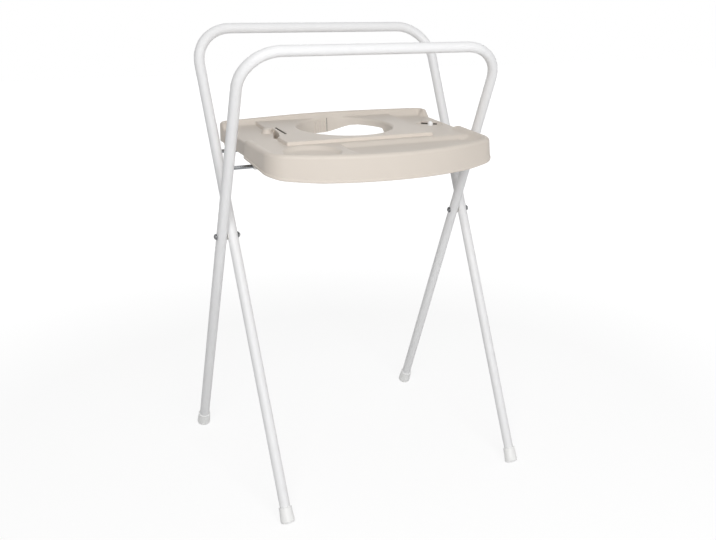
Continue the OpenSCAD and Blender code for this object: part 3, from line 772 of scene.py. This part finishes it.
loops = [TOP_LINE, WELL, CUT_OUT, SLIT, SLOT]
loops += [shifted(PLATFORM, s) for s in (4.0, 3.0, 2.2, 1.4, 0.8, 0.3, 0.0, -0.5, -1.0, -1.8)]
loops += [circle(0, WELL_Y, WELL_R + r, 2.2) for r in (0.3, 0.9, 1.8, 3.0, 4.1, 5.2)]
loops += [shifted(hole, -s) for hole, *around in OPENINGS for s in around]
loops += [circle(*HOLLOW_C, r) for r in (32.4, 31.2, 30.0, 28.8, 27.4, 26.2)]
loops += [circle(*DISH_C, DISH_R - s, 2.4) for s in (-1.2, 0, 1.2, 2.5, 4, 6, 8.5, 12)]
loops += [shifted(RECESS, s) for s in (-1.0, 0.5, 2.2, 4.0, 6.0, 8.0, 10.0)]
loops += [circle(cx, cy, r, 1.2) for cx, cy in DRAINS for r in (DRAIN_R, 2.6, 4.0, 6.0)]
loops += [circle(*BOSS_C, r, 1.6) for r in (4.5, 6.5, 8.5, 10.5, 12.0)]
# open rows: along the back rim, then along the front border
strips = []
for s in (8.8, 10.2, 11.2, 12.0, 12.8, 14.0, 15.6, 17.6, 20.0, 23.0, 27.0, 31.0):
    row = inset(s)
    strips.append(row[row[:, 1] > BACK - 53.0])
for s in (13.0, 16.0):
    row = np.roll(inset(s), len(FOOT_LINE) // 2, axis=0)
    strips.append(row[row[:, 1] < -60.0])
print("closed rows:", len(loops), "| open rows:", len(strips))

# %% Cut the plan into triangles
OPEN_GAP = 12.0         # rows are left open where their points lie further apart
GRID, CLEAR = 3.8, 1.5  # spacing of the grid, and its least distance from a row

# the rows as pairs of points that an edge has to join
rows, start = [], 0
for ring in loops + strips:
    n = len(ring)
    ids = np.arange(start, start + n)
    pairs = np.column_stack([ids, np.roll(ids, -1)])
    gap = np.linalg.norm(ring - np.roll(ring, -1, axis=0), axis=1)
    rows.append(pairs[gap < OPEN_GAP])
    start += n
fixed = np.vstack(loops + strips)
# the grid's rows are set for nearly equilateral triangles
gx, gy = np.meshgrid(np.arange(-260, 260, GRID), np.arange(-285, 120, GRID * 0.866))
gx = gx + (np.arange(gx.shape[0]) % 2)[:, None] * GRID / 2
grid = np.column_stack([gx.ravel(), gy.ravel()])
grid = grid[inside_of(TOP_LINE, grid[:, 0], grid[:, 1]) > 1.6]
near = np.full(len(grid), 1e9)
for k in range(0, len(fixed), 500):
    part = fixed[k:k + 500]
    near = np.minimum(near, ((grid[:, None] - part[None]) ** 2).sum(2).min(1))
grid = grid[near > CLEAR ** 2]
every = np.vstack([fixed, grid])
cut = delaunay_2d_cdt([Vector(p) for p in every], np.vstack(rows).tolist(), [], 0, 1e-5)
xy = np.array([tuple(v) for v in cut[0]])
tris = np.array([t for t in cut[2] if len(t) == 3])
mid = xy[tris].mean(axis=1)
# the cut may number the points anew, so new_id tells where each of them went
new_id = {}
for out_id, sources in enumerate(cut[3]):
    for i in sources:
        new_id[i] = out_id
print("points", len(every), "->", len(xy), "triangles", len(tris))

# %% Sort the triangles: the top, and the bands round the openings that carry their walls
keep = inside_of(TOP_LINE, *mid.T) > 0
for hole in (WELL, CUT_OUT, SLIT, SLOT, *[circle(*d, DRAIN_R, 1.2) for d in DRAINS]):
    keep &= inside_of(hole, *mid.T) < 0
top_tris, mid = tris[keep], mid[keep]
a, b, c = (xy[top_tris[:, k]] for k in range(3))
flip = (b[:, 0] - a[:, 0]) * (c[:, 1] - a[:, 1]) - (b[:, 1] - a[:, 1]) * (c[:, 0] - a[:, 0]) < 0
top_tris[flip] = top_tris[flip][:, ::-1]
# the round opening's band ends at the row 3 mm outside it
in_band = np.hypot(mid[:, 0], mid[:, 1] - WELL_Y) < WELL_R + 2.98
for hole, _, _, wide in OPENINGS:
    in_band |= inside_of(shifted(hole, -wide), *mid.T) > 0
print("top triangles", len(top_tris), "| of them round openings", int(in_band.sum()))

# %% [markdown]
# ### One closed skin
# The underside is the top again, one wall thickness lower and turned over.  Round the
# openings it drops further and makes their walls.  The skirt is the tray's outline repeated
# at each height, down the outside, round the bead at its foot and up again inside, so the
# whole moulding closes without a Solidify modifier, which would fold at the tight edges.

# %% One closed skin: top, underside and walls of the openings
COLLAR_LOW, COLLAR_RISE = 752.0, 18.0     # foot of the round opening's wall, and its rise
CUT_LOW, SLIT_LOW = 757.0, 768.0          # feet of the cut-out's wall, and of slit and slot
CUT_RIGHT = -154.8                        # the cut-out lies left of here, the others right
N = len(xy)
z_top = height(*xy.T)
# the round opening's wall is shorter at the back right
turned = np.degrees(np.arctan2(xy[:, 1] - WELL_Y, xy[:, 0]))
collar = COLLAR_LOW + COLLAR_RISE * ease((96.0 - turned) / 45.0) * ease((turned - 4.0) / 10.0)
z_wall = np.where(np.hypot(xy[:, 0], xy[:, 1] - WELL_Y) < WELL_R + 10, collar,
                  np.where(xy[:, 0] > CUT_RIGHT, SLIT_LOW, CUT_LOW))
verts = [np.column_stack([xy, z_top]), np.column_stack([xy, z_top - SKIN]),
         np.column_stack([xy, z_wall])]
faces = [tuple(t) for t in top_tris]
faces += [tuple(t[::-1] + N) for t in top_tris[~in_band]]
faces += [tuple(t[::-1] + 2 * N) for t in top_tris[in_band]]
# an edge with a triangle on one side only is the edge of an opening, and gets its wall
owner = {}
for t, banded in zip(top_tris, in_band):
    for k in range(3):
        owner[(int(t[k]), int(t[(k + 1) % 3]))] = bool(banded)
rim_ids = [new_id[i] for i in range(len(TOP_LINE))]
rim_set = {(p, q) for p, q in zip(rim_ids, rim_ids[1:] + rim_ids[:1])}
for (p, q), banded in owner.items():
    back = owner.get((q, p))
    if back is None and (p, q) not in rim_set:
        low = 2 * N if banded else N
        faces.append((q, p, p + low, q + low))
    elif banded and back is False:
        faces.append((q + N, p + N, p + 2 * N, q + 2 * N))
print("faces of top, underside and walls:", len(faces))

# %% Rows down the skirt
FOOT_RISE_Y = (-252, -225, -205, -176, -140, -48)     # its foot rises towards the back
FOOT_RISE = (0, 0.2, 0.44, 0.65, 0.77, 1)
BACK_ARCH, BEAD_H = 13.0, 5.6
# the bead's rows: share of its full width, and height above the foot
BEAD = ((0.12, 4.9), (0.45, 4.45), (0.82, 3.9), (1.0, 3.1), (1.0, 1.3), (0.8, 0.5), (0.3, 0.05))

def skirt_rows():
    """(inset, height) rows down the outside of the skirt, round its bead and up inside."""
    zt = z_top[rim_ids]
    y = FOOT_LINE[:, 1]
    foot = SKIRT_LOW + (SIDE_LOW - SKIRT_LOW) * np.interp(y, FOOT_RISE_Y, FOOT_RISE)
    x = FOOT_LINE[:, 0]                # the back wall's foot arches up behind the opening
    behind = ease((x + 5.0) / 45.0) * ease((185.0 - x) / 45.0) * ease((y - BACK + 6.0) / 5.0)
    foot += BACK_ARCH * behind
    bead = ease((STEP_BACK - y) / 12.0)
    spring = zt - radius
    flat = np.ones(len(y))

    def lean(z):
        return draft * (z - foot) / (spring - foot)

    out = []
    for k in range(1, 9):
        t = math.radians(90 * k / 8)
        out.append((draft + radius * (1 - math.sin(t)), zt - radius * (1 - math.cos(t))))
    for t in (0.3, 0.6, 0.85, 1.0):
        z = spring + (foot + BEAD_H - spring) * t
        out.append((lean(z), z))
    for push, up in BEAD:
        z = foot + up
        out.append((lean(z) * (1 - push) - push * bead, z))
    out += [(0.9 * flat, foot), (2.5 * flat, foot), (SKIN * flat, foot + 0.5),
            (SKIN + draft, spring)]
    for k in (2, 1):
        t = math.radians(30 * k)
        inner = radius - SKIN
        out.append((draft + radius - inner * math.sin(t), spring + inner * math.cos(t)))
    return out

# %% Join the skirt to the top and to the underside
rings = [np.array(rim_ids)]
base = 3 * N
for off, z in skirt_rows():
    verts.append(np.column_stack([inset(off), z]))
    rings.append(np.arange(base, base + len(FOOT_LINE)))
    base += len(FOOT_LINE)
rings.append(np.array(rim_ids) + N)
for upper, lower in zip(rings, rings[1:]):
    for k in range(len(upper)):
        j = (k + 1) % len(upper)
        faces.append((upper[j], upper[k], lower[k], lower[j]))
print("rows down and up the skirt:", len(rings))

# %% Make the tray
verts = np.vstack(verts)
used = np.unique(np.concatenate([np.array(f) for f in faces]))
remap = np.full(len(verts), -1)
remap[used] = np.arange(len(used))
tray = link_mesh("tray_shell", verts[used].tolist(),
                 faces=[tuple(int(remap[i]) for i in f) for f in faces])
tray.data.materials.append(TRAY_PLASTIC)
bm = bmesh.new()
bm.from_mesh(tray.data)
print("tray faces", len(bm.faces), "| open edges", sum(not e.is_manifold for e in bm.edges),
      "| volume %.0f cm3" % (bm.calc_volume() * 1e6))
bm.free()
crisp(tray, 38)
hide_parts("tray")
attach(tray, "tray")

# %% [markdown]
# ## Rod eyes
# Two thin eyes on each side hang from the tray's underside and hold the rear rod.  They are
# flat, so each is an outline between two ends, with its edges bevelled a little.

# %% Helpers for pieces between two flat ends
def prism(name, ends, material):
    """A closed piece between two outlines of as many points, listed in the same order."""
    n = len(ends[0])
    sides = [(k, (k + 1) % n, (k + 1) % n + n, k + n) for k in range(n)]
    obj = link_mesh(name, [*ends[0], *ends[1]],
                    faces=[tuple(range(n))[::-1], tuple(range(n, 2 * n)), *sides])
    bm = bmesh.new()
    bm.from_mesh(obj.data)
    bmesh.ops.recalc_face_normals(bm, faces=bm.faces)
    bm.to_mesh(obj.data)
    bm.free()
    obj.data.materials.append(material)
    return obj

def bevelled(obj, width=0.5):
    """Round a piece's edges a little."""
    mod = obj.modifiers.new("bevel", "BEVEL")
    mod.width, mod.segments, mod.limit_method = width * MM, 2, "ANGLE"
    return bake(obj)

SIDES = (("left", -1), ("right", 1))

# %% Rod eyes
ROD_Z = 735.0
ROD_Y = (ROD_Z - PIVOT_H) * math.tan(LEAN)
EYE_R, EYE_HALF, EYE_SHOULDER, EYE_TOP = 7.9, 15.5, 760.0, 777.0
EYE_X, EYE_THICK = (244.6, 231.0), 3.0
EYE = curve(ROD_Y, ROD_Z, EYE_R, 200, 340, 16) + [
    (ROD_Y + EYE_HALF, EYE_SHOULDER), (ROD_Y + EYE_HALF, EYE_TOP),
    (ROD_Y - EYE_HALF, EYE_TOP), (ROD_Y - EYE_HALF, EYE_SHOULDER)]
for side, sign in SIDES:
    for k, x in enumerate(EYE_X):
        ends_x = sorted((sign * x, sign * (x + EYE_THICK)))
        eye = prism(f"rod_eye_{side}_{k + 1}", [[(at, y, z) for y, z in EYE] for at in ends_x],
                    TRAY_PLASTIC)
        crisp(bevelled(eye), 35)
        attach(eye, "tray")
print("eye outline:", len(EYE), "points, at y", round(ROD_Y, 1))

# %% [markdown]
# ## Dark pads of painted shade in the slit and in the stud's slot
# Both openings look dark inside, though light would come through an empty one.  What fills
# them can't be seen.  That darkness is shade, so a thin dark pad just below the surface
# paints it.  A pad follows its opening's outline, with a hair of play all round.

# %% Dark pads: painted shade in the slit and in the slot
# a near-black finish that paints shade, used by the pads below and by the seam strip
SHADE_BLACK = finish("painted shade black", (0.04, 0.032, 0.026), 0.8, 0.0006, 0.00003,
                worn=(0.07, 0.06, 0.05), specular=0.1)
PAD_THICK, PAD_PLAY = 1.5, 0.15
# each pad is a dark sheet that paints the shade inside its opening
for name, outline, low in (("slit_pad", SLIT, 783.4), ("slot_pad", SLOT, 773.2)):
    ring = shifted(outline, PAD_PLAY)
    pad = prism(name, [[(*p, z) for p in ring] for z in (low, low + PAD_THICK)], SHADE_BLACK)
    crisp(pad, 40)
    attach(pad, "tray")
    print(name, "top at", low + PAD_THICK, "mm")

# %% [markdown]
# ## Screw bosses
# A hollow boss under the tray takes the screw of each front clip.  Its outline is closed,
# so spinning it gives a ring with a hole, widened at its root like any moulded boss.

# %% Screw bosses
SCREW_X, SCREW_Y = 236.0, -ROD_Y + 26.0
SCREW_BOSS = [(1.7, 776.5), (1.7, 766.3), (2.0, 766.0), (4.6, 766.0), (5.0, 766.4),
              (5.0, 774.0), (6.5, 776.5), (1.7, 776.5)]
for side, sign in SIDES:
    boss = spun(f"screw_boss_{side}", SCREW_BOSS,
                Matrix.Translation((sign * SCREW_X, SCREW_Y, 0)), 40)
    boss.data.materials.append(TRAY_PLASTIC)
    crisp(boss, 40)
    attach(boss, "tray")
print("screw bosses at x", SCREW_X, "and y", round(SCREW_Y, 1))

# %% [markdown]
# ## Flutes in the round opening
# The back of the opening's wall carries a few thin upright flutes beside a dark line.
# They repeat along an arc, so Geometry Nodes place one slim rib at each step of it.

# %% Geometry Nodes: ribs along an arc
FLUTES, gin, gout = geometry_tree("flutes on an arc", {
    "Arc radius": 0.104, "Centre y": 0.018, "First angle": 1.623, "Angle step": 0.0655,
    "Count": 5, "Rib width": 0.0022, "Rib depth": 0.0030, "Rib height": 0.026,
    "Middle height": 0.766})
stations = add(FLUTES, "GeometryNodeMeshLine", {"Count": gin.outputs["Count"]})
turn = maths(FLUTES, "ADD", gin.outputs["First angle"],
             maths(FLUTES, "MULTIPLY", add(FLUTES, "GeometryNodeInputIndex").outputs[0],
                   gin.outputs["Angle step"]))
px = maths(FLUTES, "MULTIPLY", maths(FLUTES, "COSINE", turn), gin.outputs["Arc radius"])
py = maths(FLUTES, "ADD", gin.outputs["Centre y"],
           maths(FLUTES, "MULTIPLY", maths(FLUTES, "SINE", turn), gin.outputs["Arc radius"]))
spot = add(FLUTES, "ShaderNodeCombineXYZ", {0: px, 1: py, 2: gin.outputs["Middle height"]})
set_at = add(FLUTES, "GeometryNodeSetPosition", {"Geometry": stations.outputs[0],
                                                 "Position": spot.outputs[0]})
rib = add(FLUTES, "GeometryNodeMeshCylinder", {"Vertices": 12, "Radius": 0.5,
                                               "Depth": gin.outputs["Rib height"]})
size = add(FLUTES, "ShaderNodeCombineXYZ", {0: gin.outputs["Rib depth"],
                                            1: gin.outputs["Rib width"], 2: 1.0})
slim = add(FLUTES, "GeometryNodeTransform", {"Geometry": rib.outputs[0],
                                             "Scale": size.outputs[0]})
face_in = add(FLUTES, "ShaderNodeCombineXYZ", {0: 0.0, 1: 0.0, 2: turn})
ribs = add(FLUTES, "GeometryNodeInstanceOnPoints", {"Points": set_at.outputs[0],
                                                    "Instance": slim.outputs[0],
                                                    "Rotation": face_in.outputs[0]})
close_tree(FLUTES, ribs.outputs[0], gout, TRAY_PLASTIC)
flutes = link_mesh("well_flutes", [(0, 0, 0)])
run_tree(flutes, FLUTES, Arc_radius=WELL_R * MM, Centre_y=WELL_Y * MM)
flutes.data.shade_smooth()
crisp(flutes, 40)
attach(flutes, "tray")
print("flutes:", len(flutes.data.polygons), "faces")

# %% [markdown]
# ## The mould seam, drawn in painted shade
# Beside the flutes stands a fine dark line, the shadow of a small step, perhaps where two
# halves of the mould met.  A groove that narrow would hardly hold a shadow, so a slim dark
# strip, let into the wall, paints the shade of the line.

# %% The mould seam beside the flutes, as a strip of painted shade
SEAM_AT, SEAM_HALF = math.radians(90.2), 0.45
SEAM_PROUD, SEAM_SUNK, SEAM_LOW, SEAM_HIGH = -0.35, 0.6, 754.5, 785.0
outwards = np.array((math.cos(SEAM_AT), math.sin(SEAM_AT)))
across = np.array((-outwards[1], outwards[0]))
corners = [np.array((0, WELL_Y)) + outwards * (WELL_R + r) + across * w
           for r, w in ((SEAM_PROUD, -SEAM_HALF), (SEAM_SUNK, -SEAM_HALF),
                        (SEAM_SUNK, SEAM_HALF), (SEAM_PROUD, SEAM_HALF))]
# the strip's dark finish paints the shadow of the seam's step
seam = prism("well_seam_shade", [[(*p, z) for p in corners] for z in (SEAM_LOW, SEAM_HIGH)], SHADE_BLACK)
crisp(seam, 40)
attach(seam, "tray")
print("seam:", SEAM_HIGH - SEAM_LOW, "mm high")

# %% [markdown]
# ## Lamps
# A studio sweep: one broad soft key from the front left, a weaker fill from the right and
# a dim even surround, so that the white tubes keep grey edges before the white ground.

# %% Lamps
def soft_lamp(name, at, towards, width, depth, watts):
    """A rectangular area lamp that looks from one place towards another, in metres."""
    lamp = bpy.data.objects.new(name, bpy.data.lights.new(name, "AREA"))
    lamp.data.shape = "RECTANGLE"
    lamp.data.size, lamp.data.size_y, lamp.data.energy = width, depth, watts
    lamp.location = at
    lamp.rotation_euler = (Vector(towards) - Vector(at)).to_track_quat("-Z", "Y").to_euler()
    bpy.context.scene.collection.objects.link(lamp)

soft_lamp("key", (-0.7, -2.6, 2.0), (0, 0, 0.7), 2.2, 1.6, 62)
soft_lamp("fill", (2.3, -1.9, 1.3), (0, 0, 0.5), 1.6, 1.4, 5)
soft_lamp("back", (1.0, 2.9, 0.9), (0, 0, 0.6), 2.2, 1.2, 11)
soft_lamp("top", (0, 0.2, 2.8), (0, 0, 0), 2.0, 2.0, 6)

# %% [markdown]
# ## World and floor
# The photograph's ground is pure white, but white light from all sides would wash out the
# white tubes.  So the world lights the stand only dimly, and is white just for the camera
# and for what mirrors it.  The floor glows for them in the same way, a little less near the
# feet, so that their soft shadows stay.

# %% World
SURROUND, WHITE = 0.26, 1.0
world = bpy.data.worlds.new("studio")
world.use_nodes = True
bpy.context.scene.world = world
tree = world.node_tree
ground = tree.nodes["Background"]
path = add(tree, "ShaderNodeLightPath")
seen = maths(tree, "MAXIMUM", path.outputs["Is Camera Ray"],
             maths(tree, "MAXIMUM", path.outputs["Is Glossy Ray"],
                   path.outputs["Is Transmission Ray"]))
level = add(tree, "ShaderNodeMapRange", {0: seen, 3: SURROUND, 4: WHITE})
ground.inputs["Color"].default_value = (1.0, 1.0, 1.0, 1.0)
tree.links.new(level.outputs[0], ground.inputs["Strength"])
print("world: light", SURROUND, "| seen as", WHITE)

# %% Floor
FLOOR_HALF, FLOOR_Z, GLOW = 6000, -0.2, 1.12
SHADOW_NEAR, SHADOW_FAR, GLOW_NEAR, GLOW_FAR = 0.9, 2.2, 0.75, 1.0      # metres, shares
floor = link_mesh("floor", [(x * FLOOR_HALF, y * FLOOR_HALF, FLOOR_Z)
                            for x, y in ((-1, -1), (1, -1), (1, 1), (-1, 1))],
                  faces=[(0, 1, 2, 3)], smooth=False)
mat = bpy.data.materials.new("pale floor")
mat.use_nodes = True
tree = mat.node_tree
bsdf = tree.nodes["Principled BSDF"]
bsdf.inputs["Base Color"].default_value = (0.8, 0.8, 0.8, 1.0)
bsdf.inputs["Roughness"].default_value = 0.9
bsdf.inputs["Specular IOR Level"].default_value = 0.0
glow = add(tree, "ShaderNodeEmission", {"Color": (1.0, 1.0, 1.0, 1.0), "Strength": GLOW})
spot = add(tree, "ShaderNodeTexCoord").outputs["Object"]
away = add(tree, "ShaderNodeVectorMath", {0: spot}, operation="LENGTH").outputs["Value"]
even = add(tree, "ShaderNodeMapRange", {0: away, 1: SHADOW_NEAR, 2: SHADOW_FAR,
                                        3: GLOW_NEAR, 4: GLOW_FAR}).outputs[0]
path = add(tree, "ShaderNodeLightPath")
share = maths(tree, "MULTIPLY", even, maths(tree, "MAXIMUM", path.outputs["Is Camera Ray"],
                                            path.outputs["Is Glossy Ray"]))
mix = add(tree, "ShaderNodeMixShader", {0: share})
tree.links.new(bsdf.outputs[0], mix.inputs[1])
tree.links.new(glow.outputs[0], mix.inputs[2])
tree.links.new(mix.outputs[0], tree.nodes["Material Output"].inputs["Surface"])
floor.data.materials.append(mat)
bpy.context.scene.view_settings.view_transform = "Standard"
print("floor at", FLOOR_Z, "mm")
